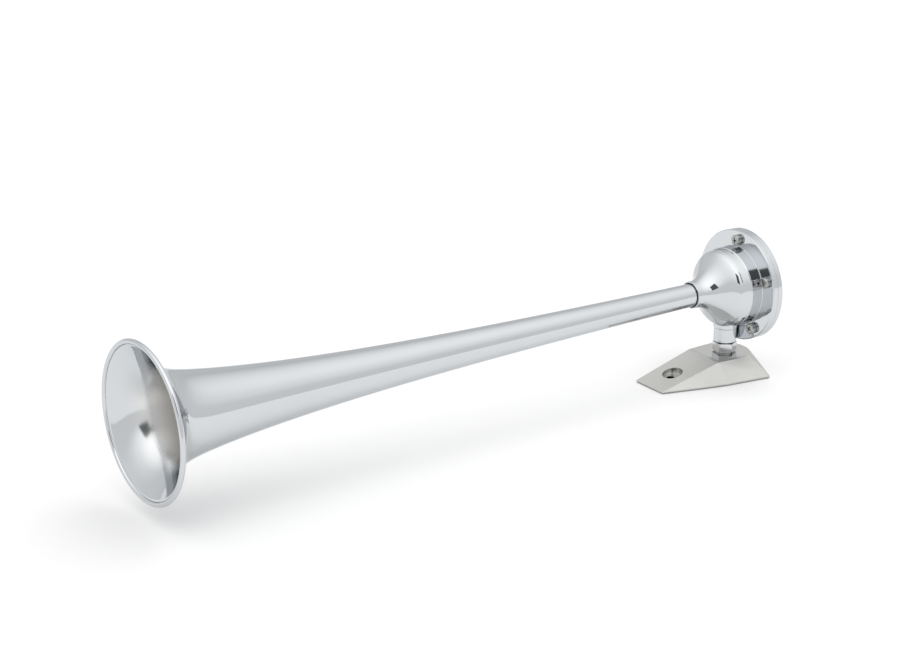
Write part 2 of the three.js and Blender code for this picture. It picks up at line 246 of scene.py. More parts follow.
def buildDullSpecks():
    # small dull spots and a soft film, as a mask
    s = {
        "speckDetail": 4.0, "speckRoughness": 0.7, "speckFrom": 0.62, "speckTo": 0.74,
        "filmSize": 22.0, "filmDetail": 2.0, "filmFrom": 0.45, "filmTo": 0.75, "filmShare": 0.5,
    }
    tree, given, result = newGroup("dullSpecks", "ShaderNodeTree", [
        ("Speck Size", "NodeSocketFloat", 260.0),
        ("Amount", "NodeSocketFloat", 0.3),
    ], [("Mask", "NodeSocketFloat")])
    place = addNode(tree, "ShaderNodeTexCoord").outputs["Object"]
    fine = noise(tree, place, given.outputs["Speck Size"], s["speckDetail"], s["speckRoughness"])
    film = noise(tree, place, s["filmSize"], s["filmDetail"])
    spots = remap(tree, fine, s["speckFrom"], s["speckTo"], 0.0, 1.0)
    veil = remap(tree, film, s["filmFrom"], s["filmTo"], 0.0, s["filmShare"])
    total = calc(tree, "ADD", spots, veil)
    tree.links.new(calc(tree, "MULTIPLY", total, given.outputs["Amount"], clamp=True), result.inputs["Mask"])
    return tree


def newMaterial(name):
    material = bpy.data.materials.new(name)
    material.use_nodes = True
    tree = material.node_tree
    shader = tree.nodes["Principled BSDF"]
    return material, tree, shader


def addBump(tree, shader, height, strength, distance):
    bump = addNode(tree, "ShaderNodeBump", {"Height": height, "Strength": strength, "Distance": distance})
    tree.links.new(bump.outputs["Normal"], shader.inputs["Normal"])


def placeEffects(tree, look):
    # the shared haze and specks, each with the look's own values
    marks = addNode(tree, "ShaderNodeGroup", node_tree=handlingMarks)
    for label, key in (("Cloud Size", "cloud"), ("Line Size", "line"), ("Lowest", "lowest"),
                       ("Highest", "highest"), ("Lines", "lines")):
        marks.inputs[label].default_value = look[key]
    specks = addNode(tree, "ShaderNodeGroup", node_tree=dullSpecks)
    specks.inputs["Amount"].default_value = look["specks"]
    return marks, specks


def polishedMetal(name, look):
    # a bright metal whose haze, lines and specks come from the shared groups
    material, tree, shader = newMaterial(name)
    shader.inputs["Metallic"].default_value = 1.0
    marks, specks = placeEffects(tree, look)
    colour = mixColour(tree, specks.outputs["Mask"], look["colour"], look["dull"])
    rough = marks.outputs["Roughness"]
    if "boreRough" in look:
        # the plating is duller deep in the bore, where the mesh has its boreShare
        bore = addNode(tree, "ShaderNodeAttribute", attribute_name="boreShare").outputs["Fac"]
        colour = mixColour(tree, bore, colour, look["boreColour"])
        rough = remap(tree, bore, 0.0, 1.0, rough, look["boreRough"])
    tree.links.new(colour, shader.inputs["Base Color"])
    shader.inputs["Specular Tint"].default_value = look["edge"]
    tree.links.new(rough, shader.inputs["Roughness"])
    addBump(tree, shader, marks.outputs["Height"], look["bump"], look["bumpDepth"])
    return material


chromeLook = {
    "colour": (0.645, 0.665, 0.685, 1), "dull": (0.585, 0.60, 0.615, 1), "edge": (0.74, 0.75, 0.76, 1),
    "cloud": 26.0, "line": 650.0, "lowest": 0.035, "highest": 0.085, "lines": 0.25,
    "specks": 0.25, "bump": 0.02, "bumpDepth": 0.0003,
}
trumpetLook = dict(chromeLook, boreColour=(0.76, 0.75, 0.73, 1), boreRough=0.38)
screwLook = dict(chromeLook, colour=(0.42, 0.42, 0.41, 1), dull=(0.26, 0.26, 0.25, 1), lowest=0.15,
                 highest=0.3, specks=0.6)
nutLook = dict(chromeLook, colour=(0.74, 0.75, 0.76, 1), lowest=0.12, highest=0.24, specks=0.35)
springLook = dict(chromeLook, colour=(0.52, 0.53, 0.54, 1), dull=(0.40, 0.40, 0.40, 1), lowest=0.2,
                  highest=0.4, lines=0.6, specks=0.5, bump=0.08)
brassLook = dict(chromeLook, colour=(0.73, 0.55, 0.27, 1), dull=(0.50, 0.37, 0.20, 1), lowest=0.15,
                 highest=0.35, lines=0.6, specks=0.5, bump=0.06)


def nearUpright(tree, place, centre, reach, blend):
    # 1 within a distance of an upright line
    level = addNode(tree, "ShaderNodeVectorMath", {0: place, 1: (1, 1, 0)}, operation="MULTIPLY")
    ends = {0: level.outputs["Vector"], 1: centre}
    away = addNode(tree, "ShaderNodeVectorMath", ends, operation="DISTANCE").outputs["Value"]
    return remap(tree, away, reach, reach + blend, 1.0, 0.0)


def satinCasting():
    # a tumbled, lightly brushed casting with a polished top pad whose colour is darkened as painted shade, a
    # smoother screw seat, and a screw hole coloured near black as painted shade
    look = {
        "colour": (0.62, 0.62, 0.60, 1), "dull": (0.545, 0.545, 0.52, 1), "padHeight": 0.0174,
        "padShadeColour": (0.59, 0.59, 0.58, 1),
        "padBlend": 0.0004, "padShare": 0.25, "cloud": 45.0, "line": 900.0, "lowest": 0.40,
        "highest": 0.56, "lines": 0.6, "specks": 0.5, "bump": 0.12, "bumpDepth": 0.0004,
        "seatPlace": (0, -0.0306, 0), "seatReach": 0.0089, "seatBlend": 0.0003, "seatShare": 0.3,
        "holePlace": (0, -0.0325, 0), "holeReach": 0.00355, "holeShadeColour": (0.02, 0.02, 0.02, 1),
    }
    material, tree, shader = newMaterial("satinNickel")
    shader.inputs["Metallic"].default_value = 1.0
    marks, specks = placeEffects(tree, look)
    place = addNode(tree, "ShaderNodeTexCoord").outputs["Object"]
    height = addNode(tree, "ShaderNodeSeparateXYZ", {"Vector": place}).outputs["Z"]
    low, high = look["padHeight"], look["padHeight"] + look["padBlend"]
    pad = remap(tree, height, low, high, 0.0, 1.0)
    share = remap(tree, pad, 0.0, 1.0, 1.0, look["padShare"])
    seat = nearUpright(tree, place, look["seatPlace"], look["seatReach"], look["seatBlend"])
    share = calc(tree, "MINIMUM", share, remap(tree, seat, 0.0, 1.0, 1.0, look["seatShare"]))
    tree.links.new(calc(tree, "MULTIPLY", marks.outputs["Roughness"], share), shader.inputs["Roughness"])
    colour = mixColour(tree, specks.outputs["Mask"], look["colour"], look["dull"])
    # painted shade: the top pad's colour is made darker than the rest of the casting
    colour = mixColour(tree, pad, colour, look["padShadeColour"])
    # painted shade: the wall of the screw hole is coloured near black
    hole = nearUpright(tree, place, look["holePlace"], look["holeReach"], look["seatBlend"] / 2)
    tree.links.new(mixColour(tree, hole, colour, look["holeShadeColour"]), shader.inputs["Base Color"])
    addBump(tree, shader, marks.outputs["Height"], look["bump"], look["bumpDepth"])
    return material


def dullSheet(name, colour, dull, grain, rough):
    # rubber or fibre sheet: mottled, with a fine tooth
    s = {
        "mottleSize": 60.0, "detail": 3.0, "toothRoughness": 0.7, "mottleFrom": 0.3, "mottleTo": 0.7,
        "roughStep": 0.1, "bump": 0.25, "bumpDepth": 0.0003,
    }
    material, tree, shader = newMaterial(name)
    shader.inputs["Metallic"].default_value = 0.0
    place = addNode(tree, "ShaderNodeTexCoord").outputs["Object"]
    mottle = noise(tree, place, s["mottleSize"], s["detail"])
    tooth = noise(tree, place, grain, s["detail"], s["toothRoughness"])
    tree.links.new(mixColour(tree, mottle, colour, dull), shader.inputs["Base Color"])
    dullness = remap(tree, mottle, s["mottleFrom"], s["mottleTo"], rough - s["roughStep"], rough)
    tree.links.new(dullness, shader.inputs["Roughness"])
    addBump(tree, shader, tooth, s["bump"], s["bumpDepth"])
    return material


handlingMarks = buildHandlingMarks()
dullSpecks = buildDullSpecks()
polishedChrome = polishedMetal("polishedChrome", chromeLook)
trumpetChrome = polishedMetal("trumpetChrome", trumpetLook)
screwPlate = polishedMetal("screwPlate", screwLook)
nutPlate = polishedMetal("nutPlate", nutLook)
springSteel = polishedMetal("springSteel", springLook)
turnedBrass = polishedMetal("turnedBrass", brassLook)
satinNickel = satinCasting()
blackRubber = dullSheet("blackRubber", (0.06, 0.06, 0.062, 1), (0.11, 0.11, 0.11, 1), 900.0, 0.8)
greyRubber = dullSheet("greyRubber", (0.36, 0.36, 0.36, 1), (0.30, 0.30, 0.30, 1), 900.0, 0.8)
fibreSheet = dullSheet("fibreSheet", (0.30, 0.19, 0.12, 1), (0.20, 0.13, 0.09, 1), 1400.0, 0.95)
print("finishes ready")


# Trumpet

trumpetSizes = {
    "bellReach": 575.2, "bellRadius": 64.77, "rimRadius": 2.2, "wall": 1.1,
    "endRadius": 7.3, "spread": 35.6, "length": 170, "power": 0.806, "flareLength": 12, "flarePower": 1.3,
    "meetAngle": 165, "innerAngle": -176, "tubeEnd": -20.4,
    "flareRows": 46, "tubeRows": 70, "flareEnd": 22, "rimRows": 28, "rowSpread": 1.3,
    "dullFrom": 10, "dullRun": 22,
}


def taperRadius(fromBell):
    s = trumpetSizes
    return s["endRadius"] + s["spread"] * math.exp(-((max(fromBell, 0) / s["length"]) ** s["power"]))


def makeTrumpet():
    s = trumpetSizes
    rimCentre = s["bellRadius"] - s["rimRadius"]
    meet = math.radians(s["meetAngle"])
    meetPlace = s["rimRadius"] * math.sin(meet)
    meetRadius = rimCentre + s["rimRadius"] * math.cos(meet)

    def flareShare(fromBell):
        return math.exp(-((fromBell / s["flareLength"]) ** s["flarePower"]))

    flare = (meetRadius - taperRadius(meetPlace)) / flareShare(meetPlace)

    def hornRadius(fromBell):
        return taperRadius(fromBell) + flare * flareShare(fromBell)

    tubeLength = s["bellReach"] + s["tubeEnd"]
    places = [meetPlace + (s["flareEnd"] - meetPlace) * i / s["flareRows"] for i in range(s["flareRows"])]
    rows = s["tubeRows"]
    tubeRun = tubeLength - s["flareEnd"]
    places += [s["flareEnd"] + tubeRun * (i / rows) ** s["rowSpread"] for i in range(rows + 1)]
    outer, inner = [], []
    probe = 0.001
    for place in places:
        radius = hornRadius(place)
        lean = math.atan((hornRadius(place + probe) - radius) / probe)
        outer.append((radius, place))
        inner.append((radius - s["wall"] * math.cos(lean), place + s["wall"] * math.sin(lean)))
    inner[-1] = (outer[-1][0] - s["wall"], tubeLength)
    rim = []
    for i in range(1, s["rimRows"] + 1):
        angle = meet + (math.radians(s["innerAngle"]) - meet) * i / s["rimRows"]
        rim.append((rimCentre + s["rimRadius"] * math.cos(angle), s["rimRadius"] * math.sin(angle)))
    profile = [(r, y - s["bellReach"]) for r, y in outer[::-1] + rim + inner[1:]]
    mesh = turnedMesh("hornTrumpet", profile)
    bore = mesh.attributes.new("boreShare", "FLOAT", "POINT")
    for i in range((len(outer) + len(rim)) * layout["aroundSteps"], len(mesh.vertices)):
        depth = mesh.vertices[i].co.y / mm + s["bellReach"]
        bore.data[i].value = min(max((depth - s["dullFrom"]) / s["dullRun"], 0), 1)
    item = newObject("hornTrumpet", placed(mesh, crossing))
    dress(item, trumpetChrome, "chrome_plate", hornBody, "trumpet")


# Driver housing, cover and the ring in the neck

housingSizes = {
    "neckRadius": 12.1, "neckReach": 42.3, "neckRun": 4.3, "sealBore": 11.13, "sealLength": 2.8,
    "domeRadius": 33.2, "domeSetoff": 9.6, "shoulderRadius": 34.4, "drumRadius": 35, "drumSetoff": 1.6,
    "flangeFront": 10.3, "flangeBack": 15.6, "discRadius": 49.3, "socketRadius": 10.33,
    "bossRadius": 10.6, "bossBore": 6.75, "bossDrop": 37, "bossTop": 32, "bossSteps": 128,
    "ogeeRows": 40, "ogeeFirst": (0.02, 0.57), "ogeeSecond": (1.01, 0.77), "socketFloor": -22,
    "recessRadius": 30, "recessFloor": -4, "throatRadius": 8.8, "domeStep": 0.5, "shoulderRise": 0.6,
    "sealRound": 0.12, "neckRound": 0.4, "domeRound": 0.2, "shoulderRound": 0.25, "fillet": 0.8,
    "edgeRound": 1.0, "seamRound": 0.12, "boreRound": 0.3, "bossRound": 0.6,
}


def ogeePoints():
    s = housingSizes
    start = Vector((s["neckRadius"], s["neckRun"] - s["neckReach"]))
    end = Vector((s["domeRadius"], -s["domeSetoff"]))
    rise, run = end.x - start.x, end.y - start.y
    shares = (s["ogeeFirst"], s["ogeeSecond"])
    first, second = (Vector((start.x + rise * up, start.y + run * ahead)) for up, ahead in shares)
    points = []
    for i in range(s["ogeeRows"] + 1):
        t = i / s["ogeeRows"]
        u = 1 - t
        point = start * u ** 3 + first * (3 * u * u * t) + second * (3 * u * t * t) + end * t ** 3
        points.append(tuple(point))
    return points


def makeHousing():
    s = housingSizes
    outline = softProfile([
        (s["socketRadius"], s["socketFloor"]),
        (s["socketRadius"], s["sealLength"] - s["neckReach"]),
        (s["sealBore"], s["sealLength"] - s["neckReach"]),
        (s["sealBore"], -s["neckReach"], s["sealRound"]),
        (s["neckRadius"], -s["neckReach"], s["neckRound"]),
    ]) + ogeePoints() + softProfile([
        (s["domeRadius"] + s["domeStep"], s["domeStep"] - s["domeSetoff"], s["domeRound"]),
        (s["shoulderRadius"], -s["drumSetoff"], s["shoulderRound"]),
        (s["drumRadius"], s["shoulderRise"] - s["drumSetoff"], s["shoulderRound"]),
        (s["drumRadius"], s["flangeFront"], s["fillet"]),
        (s["discRadius"], s["flangeFront"], s["edgeRound"]),
        (s["discRadius"], s["flangeBack"], s["seamRound"]),
        (s["recessRadius"], s["flangeBack"]),
        (s["recessRadius"], s["recessFloor"]),
        (s["throatRadius"], s["recessFloor"]),
        (s["throatRadius"], s["socketFloor"]),
    ])
    item = newObject("hornHousing", turnedMesh("hornHousing", outline))
    boss = softProfile([
        (s["bossBore"], -s["bossDrop"], s["boreRound"]),
        (s["bossRadius"], -s["bossDrop"], s["bossRound"]),
        (s["bossRadius"], -s["bossTop"]),
        (s["bossBore"], -s["bossTop"]),
    ])
    bossMesh = turnedMesh("bossPattern", boss, "z", s["bossSteps"])
    combine(item, newObject("bossPattern", bossMesh), "UNION")
    placed(item.data, crossing)
    dress(item, polishedChrome, "chrome_plate", hornBody, "driver_housing")


def makeCover():
    s = {
        "front": 15.7, "back": 21.0, "radius": 49.3, "panelRadius": 31, "panelDepth": 0.8,
        "seamRound": 0.12, "edgeRound": 1.0, "panelRound": 0.35,
    }
    outline = softProfile([
        (0, s["front"]),
        (s["radius"], s["front"], s["seamRound"]),
        (s["radius"], s["back"], s["edgeRound"]),
        (s["panelRadius"], s["back"], s["panelRound"]),
        (s["panelRadius"] - s["panelDepth"], s["back"] - s["panelDepth"], s["panelRound"]),
        (0, s["back"] - s["panelDepth"]),
    ])
    item = newObject("hornCover", placed(turnedMesh("hornCover", outline), crossing))
    dress(item, polishedChrome, "chrome_plate", hornBody, "back_cover")


def makeNeckRing():
    s = {"inner": 10.35, "outer": 10.98, "front": -42.0, "back": -39.6, "round": 0.15}
    outline = softProfile([
        (s["inner"], s["front"], s["round"]), (s["outer"], s["front"], s["round"]),
        (s["outer"], s["back"]), (s["inner"], s["back"]),
    ])
    item = newObject("neckRing", placed(turnedMesh("neckRing", outline), crossing))
    dress(item, blackRubber, "rubber", hornBody, "trumpet_seal")


# Stem, lock nut and washer

stemSizes = {
    "collarRadius": 10.1, "collarTop": -37.1, "collarLow": -49.7, "threadRadius": 6.6, "bore": 4,
    "plugTop": -30.9, "nippleEnd": -70, "pitch": 1.41, "threadDepth": 0.8, "threadRows": 200,
    "threadStart": 0.8, "threadRelief": 0.4, "nippleRound": 0.3, "collarRound": 0.7, "edgeRound": 0.3,
    "plugRound": 0.4, "steps": 96,
}


def makeStem():
    s = stemSizes
    shape = softProfile([
        (s["bore"], s["nippleEnd"]),
        (s["threadRadius"] - s["threadDepth"], s["nippleEnd"], s["nippleRound"]),
    ])
    low, high = s["nippleEnd"] + s["threadStart"], s["collarLow"] - s["threadRelief"]
    rows = s["threadRows"]
    threadRows = [(s["threadRadius"], low + (high - low) * i / rows) for i in range(rows + 1)]
    upper = softProfile([
        (s["threadRadius"] - s["threadDepth"], s["collarLow"]),
        (s["collarRadius"], s["collarLow"], s["collarRound"]),
        (s["collarRadius"], s["collarTop"], s["edgeRound"]),
        (s["threadRadius"], s["collarTop"]),
        (s["threadRadius"], s["plugTop"], s["plugRound"]),
        (s["bore"], s["plugTop"]),
    ])

    def thread(angle, place):
        if place < low - layout["tiny"] or place > high + layout["tiny"]:
            return 0
        phase = (place / s["pitch"] - angle / (2 * math.pi)) % 1
        return -s["threadDepth"] * abs(2 * phase - 1)

    mesh = turnedMesh("hornStem", shape + threadRows + upper, "z", s["steps"], thread)
    item = newObject("hornStem", placed(mesh, crossing))
    dress(item, polishedChrome, "chrome_plate", hornBody, "stem")


def makeLockNut():
    s = {
        "acrossFlats": 19, "low": -58.2, "high": -50.6, "turn": 25, "bore": 6.75, "chamfer": 0.9,
        "boreStep": 0.5, "edgeRound": 0.1, "cornerRound": 0.25, "sideRound": 0.45, "sideSteps": 4,
        "steps": 144, "sides": 6, "overrun": 2,
    }
    corner = s["acrossFlats"] / 2 / math.cos(math.pi / s["sides"])
    chamfered = softProfile([
        (s["bore"] + s["boreStep"], s["low"], s["edgeRound"]),
        (corner - s["chamfer"], s["low"], s["cornerRound"]),
        (corner, s["low"] + s["chamfer"] / 2, s["edgeRound"]),
        (corner, s["high"] - s["chamfer"] / 2, s["edgeRound"]),
        (corner - s["chamfer"], s["high"], s["cornerRound"]),
        (s["bore"] + s["boreStep"], s["high"], s["edgeRound"]),
        (s["bore"], s["high"] - s["boreStep"]),
        (s["bore"], s["low"] + s["boreStep"]),
    ])
    item = newObject("hornLockNut", turnedMesh("hornLockNut", chamfered, "z", s["steps"]))
    prism = bmesh.new()
    height = (s["high"] - s["low"] + s["overrun"]) * mm
    reach = corner * mm
    bmesh.ops.create_cone(
        prism, cap_ends=True, segments=s["sides"], radius1=reach, radius2=reach, depth=height)
    sides = [edge for edge in prism.edges if abs(edge.verts[0].co.z - edge.verts[1].co.z) > height / 2]
    bmesh.ops.bevel(prism, geom=sides, offset=s["sideRound"] * mm, segments=s["sideSteps"], affect="EDGES")
    # a corner of the prism lies on the Y axis before this turn, as it does on the construction model
    turn = Matrix.Rotation(math.radians(s["turn"]), 4, "Z")
    bmesh.ops.transform(prism, verts=prism.verts, matrix=turn)
    bmesh.ops.translate(prism, verts=prism.verts, vec=(0, 0, (s["low"] + s["high"]) / 2 * mm))
    mesh = bpy.data.meshes.new("nutPrism")
    prism.to_mesh(mesh)
    prism.free()
    combine(item, newObject("nutPrism", mesh), "INTERSECT")
    placed(item.data, crossing)
    dress(item, nutPlate, "chrome_plate", "nut_body", "lock_nut")


# Geometry Nodes: a split washer, and a ring of five places

ringCount = 5


def setInput(modifier, label, value):
    for item in modifier.node_group.interface.items_tree:
        if item.item_type == "SOCKET" and item.in_out == "INPUT" and item.name == label:
            modifier[item.identifier] = value
            return
    raise KeyError(label)


def buildSplitWasher():
    filletSteps = 3
    tree, given, result = newGroup("splitWasher", "GeometryNodeTree", [
        ("Mean Radius", "NodeSocketFloat", 0.003),
        ("Band Width", "NodeSocketFloat", 0.002),
        ("Thickness", "NodeSocketFloat", 0.001),
        ("Edge Round", "NodeSocketFloat", 0.0001),
        ("Slit Angle", "NodeSocketFloat", 0.16),
        ("Steps", "NodeSocketInt", 96),
        ("Finish", "NodeSocketMaterial", None),
    ], [("Geometry", "NodeSocketGeometry")])
    sweep = calc(tree, "SUBTRACT", 2 * math.pi, given.outputs["Slit Angle"])
    arc = addNode(tree, "GeometryNodeCurveArc", {
        "Resolution": given.outputs["Steps"], "Radius": given.outputs["Mean Radius"],
        "Start Angle": given.outputs["Slit Angle"], "Sweep Angle": sweep}, mode="RADIUS")
    band = addNode(tree, "GeometryNodeCurvePrimitiveQuadrilateral", {
        "Width": given.outputs["Band Width"], "Height": given.outputs["Thickness"]})
    rounded = addNode(tree, "GeometryNodeFilletCurve", {
        "Curve": band.outputs["Curve"], "Radius": given.outputs["Edge Round"]}, mode="POLY")
    rounded.inputs["Count"].default_value = filletSteps
    solid = addNode(tree, "GeometryNodeCurveToMesh", {
        "Curve": arc.outputs["Curve"], "Profile Curve": rounded.outputs["Curve"], "Fill Caps": True})
    real = addNode(tree, "GeometryNodeRealizeInstances", {"Geometry": solid.outputs["Mesh"]})
    finish = addNode(tree, "GeometryNodeSetMaterial", {
        "Geometry": real.outputs["Geometry"], "Material": given.outputs["Finish"]})
    tree.links.new(finish.outputs["Geometry"], result.inputs["Geometry"])
    return tree


def buildRingOfFive():
    tree, given, result = newGroup("ringOfFive", "GeometryNodeTree", [
        ("Pattern", "NodeSocketObject", None),
        ("Ring Radius", "NodeSocketFloat", 0.0413),
        ("Spin Seed", "NodeSocketInt", 3),
        ("Finish", "NodeSocketMaterial", None),
    ] + [(f"Angle {i + 1}", "NodeSocketFloat", 0.0) for i in range(ringCount)],
        [("Geometry", "NodeSocketGeometry")])
    pattern = addNode(tree, "GeometryNodeObjectInfo", {"Object": given.outputs["Pattern"]})
    index = addNode(tree, "GeometryNodeInputIndex").outputs["Index"]
    choose = addNode(tree, "GeometryNodeIndexSwitch", data_type="FLOAT")
    while len(choose.index_switch_items) < ringCount:
        choose.index_switch_items.new()
    tree.links.new(index, choose.inputs["Index"])
    for i in range(ringCount):
        tree.links.new(given.outputs[f"Angle {i + 1}"], choose.inputs[i + 1])
    angle = choose.outputs[0]
    across = calc(tree, "MULTIPLY", calc(tree, "COSINE", angle), given.outputs["Ring Radius"])
    up = calc(tree, "MULTIPLY", calc(tree, "SINE", angle), given.outputs["Ring Radius"])
    place = addNode(tree, "ShaderNodeCombineXYZ", {"X": across, "Z": up})
    points = addNode(tree, "GeometryNodePoints", {"Count": ringCount, "Position": place.outputs["Vector"]})
    spin = addNode(tree, "FunctionNodeRandomValue", data_type="FLOAT")
    spin.inputs[2].default_value = 0.0
    spin.inputs[3].default_value = 2 * math.pi
    tree.links.new(given.outputs["Spin Seed"], spin.inputs["Seed"])
    turn = addNode(tree, "ShaderNodeCombineXYZ", {"Y": spin.outputs[1]})
    ring = addNode(tree, "GeometryNodeInstanceOnPoints", {
        "Points": points.outputs[0], "Instance": pattern.outputs["Geometry"],
        "Rotation": turn.outputs["Vector"]})
    real = addNode(tree, "GeometryNodeRealizeInstances", {"Geometry": ring.outputs["Instances"]})
    finish = addNode(tree, "GeometryNodeSetMaterial", {
        "Geometry": real.outputs["Geometry"], "Material": given.outputs["Finish"]})
    tree.links.new(finish.outputs["Geometry"], result.inputs["Geometry"])
    return tree


def grown(name, tree, values):
    # runs a tree once and keeps its result as a plain mesh
    holder = newObject(name, bpy.data.meshes.new(name + "Holder"))
    modifier = holder.modifiers.new("shape", "NODES")
    modifier.node_group = tree
    for label, value in values.items():
        setInput(modifier, label, value)
    return bakeModifiers(holder)


splitWasher = buildSplitWasher()
ringOfFive = buildRingOfFive()

screwSizes = {
    "ringRadius": 41.3, "angles": [90, 18, -54, -126, 162], "headRadius": 4.75, "headHeight": 3.2,
    "shankRadius": 2.4, "tip": 19.6, "headRound": 1.2, "crossWidth": 1.3, "crossSpan": 5.6,
    "crossDepth": 2.2, "crossEnd": 0.5, "washerThickness": 0.9, "washerBore": 2.55, "washerRadius": 4.3,
    "washerSlit": 9, "spinSeed": 7, "washerSeed": 4, "steps": 64, "underRound": 0.2, "tipRound": 0.4,
    "crossAbove": 0.5, "washerRound": 0.15,
}


def crossBlade(top, s, turn):
    # one tapering blade of the cross recess
    shape = bmesh.new()
    for vert in bmesh.ops.create_cube(shape, size=1)["verts"]:
        deep = vert.co.y > 0
        vert.co.x *= s["crossSpan"] * (s["crossEnd"] if deep else 1)
        vert.co.z *= s["crossWidth"] * (s["crossEnd"] if deep else 1)
        vert.co.y = top + s["crossDepth"] if deep else top - s["crossAbove"]
    mesh = bpy.data.meshes.new("crossPattern")
    shape.to_mesh(mesh)
    shape.free()
    mesh.transform(Matrix.Diagonal((mm, mm, mm, 1)) @ Matrix.Rotation(math.radians(turn), 4, "Y"))
    return newObject("crossPattern", mesh)


def ringValues(pattern, seed, finish):
    s = screwSizes
    values = {"Pattern": pattern, "Ring Radius": s["ringRadius"] * mm, "Spin Seed": seed, "Finish": finish}
    for i, angle in enumerate(s["angles"]):
        values[f"Angle {i + 1}"] = math.radians(angle)
    return values


def makeCoverScrews():
    s = screwSizes
    under = housingSizes["flangeFront"] - s["washerThickness"] - 2 * seatGap
    top = under - s["headHeight"]
    outline = softProfile([
        (0, top),
        (s["headRadius"], top, s["headRound"]),
        (s["headRadius"], under, s["underRound"]),
        (s["shankRadius"], under),
        (s["shankRadius"], s["tip"], s["tipRound"]),
        (0, s["tip"]),
    ])
    pattern = newObject("screwPattern", turnedMesh("screwPattern", outline, "y", s["steps"]))
    for turn in (0, 90):
        combine(pattern, crossBlade(top, s, turn), "DIFFERENCE")
    item = grown("coverScrews", ringOfFive, ringValues(pattern, s["spinSeed"], screwPlate))
    bpy.data.objects.remove(pattern)
    placed(item.data, crossing)
    nodes = [f"cover_screw_{i + 1}" for i in range(ringCount)]
    dress(item, screwPlate, "chrome_plate", hornBody, *nodes)


def washerValues(bore, radius, thickness, slit, finish):
    return {
        "Mean Radius": (bore + radius) / 2 * mm, "Band Width": (radius - bore) * mm,
        "Thickness": thickness * mm, "Edge Round": screwSizes["washerRound"] * mm,
        "Slit Angle": math.radians(slit), "Finish": finish,
    }


def makeCoverWashers():
    s = screwSizes
    sizes = [s[key] for key in ("washerBore", "washerRadius", "washerThickness", "washerSlit")]
    values = washerValues(*sizes, springSteel)
    pattern = grown("washerPattern", splitWasher, values)
    middle = housingSizes["flangeFront"] - seatGap - s["washerThickness"] / 2
    standing = Matrix.Rotation(math.pi / 2, 4, "X")
    pattern.data.transform(Matrix.Translation((0, middle * mm, 0)) @ standing)
    item = grown("coverWashers", ringOfFive, ringValues(pattern, s["washerSeed"], springSteel))
    bpy.data.objects.remove(pattern)
    placed(item.data, crossing)
    nodes = [f"cover_screw_washer_{i + 1}" for i in range(ringCount)]
    dress(item, springSteel, "spring_steel", hornBody, *nodes)


def makeLockWasher():
    s = {"bore": 6.9, "radius": 9.1, "thickness": 1.2, "slit": 7, "low": -59.5}
    item = grown("hornLockWasher", splitWasher, washerValues(
        s["bore"], s["radius"], s["thickness"], s["slit"], springSteel))
    placed(item.data, crossing + Vector((0, 0, s["low"] + s["thickness"] / 2)) * mm)
    dress(item, springSteel, "spring_steel", "washer_body", "lock_washer")


# Base casting

baseSizes = {
    "length": 113, "width": 80, "height": 18, "plateauWidth": 43, "lip": 1.0, "bottom": 1.2,
    "sides": [(0, 0.4475), (0.33, 0.7125), (0.54, 0.855), (0.92, 1)],
    "plateau": [(0.543, 0.935), (0.66, 0.98), (0.841, 1)], "rearBulge": 9, "plateauBulge": 12.3,
    "arcRows": 24, "edge": 0.45, "crease": 3.0, "creaseReach": 0.1, "bevelSteps": 4, "flatAngle": 0.4,
    "screwPlace": -32.5, "screwHole": 3.5, "seatPlace": -30.6, "seatRadius": 9.0, "seatFloor": 5.0,
    "stemBore": 6.75, "stemFloor": 7.4, "inlet": 5.9, "through": -1, "drillAbove": 2, "drillRound": 0.3,
    "drillSteps": 96,
}


def baseOutline(shares, halfWidth, bulge):
    s = baseSizes
    side = [(halfWidth * across, s["length"] * (along - 0.5)) for along, across in shares]
    cornerX, cornerY = side[-1]
    radius = (cornerX ** 2 + bulge ** 2) / (2 * bulge)
    centre = cornerY + bulge - radius
    sweep = math.atan2(cornerX, cornerY - centre)
    rear = []
    for i in range(1, s["arcRows"]):
        angle = sweep * (1 - 2 * i / s["arcRows"])
        rear.append((radius * math.sin(angle), centre + radius * math.cos(angle)))
    return side + rear + [(-x, y) for x, y in side[::-1]]


def drilled(item, radius, floor, setback):
    # an upright round hole, open at the top
    s = baseSizes
    above = s["height"] + s["drillAbove"]
    hole = softProfile([(0, floor), (radius, floor, s["drillRound"]), (radius, above), (0, above)])
    mesh = turnedMesh("drillPattern", hole, "z", s["drillSteps"])
    placed(mesh, Vector((0, setback, 0)) * mm)
    combine(item, newObject("drillPattern", mesh), "DIFFERENCE")


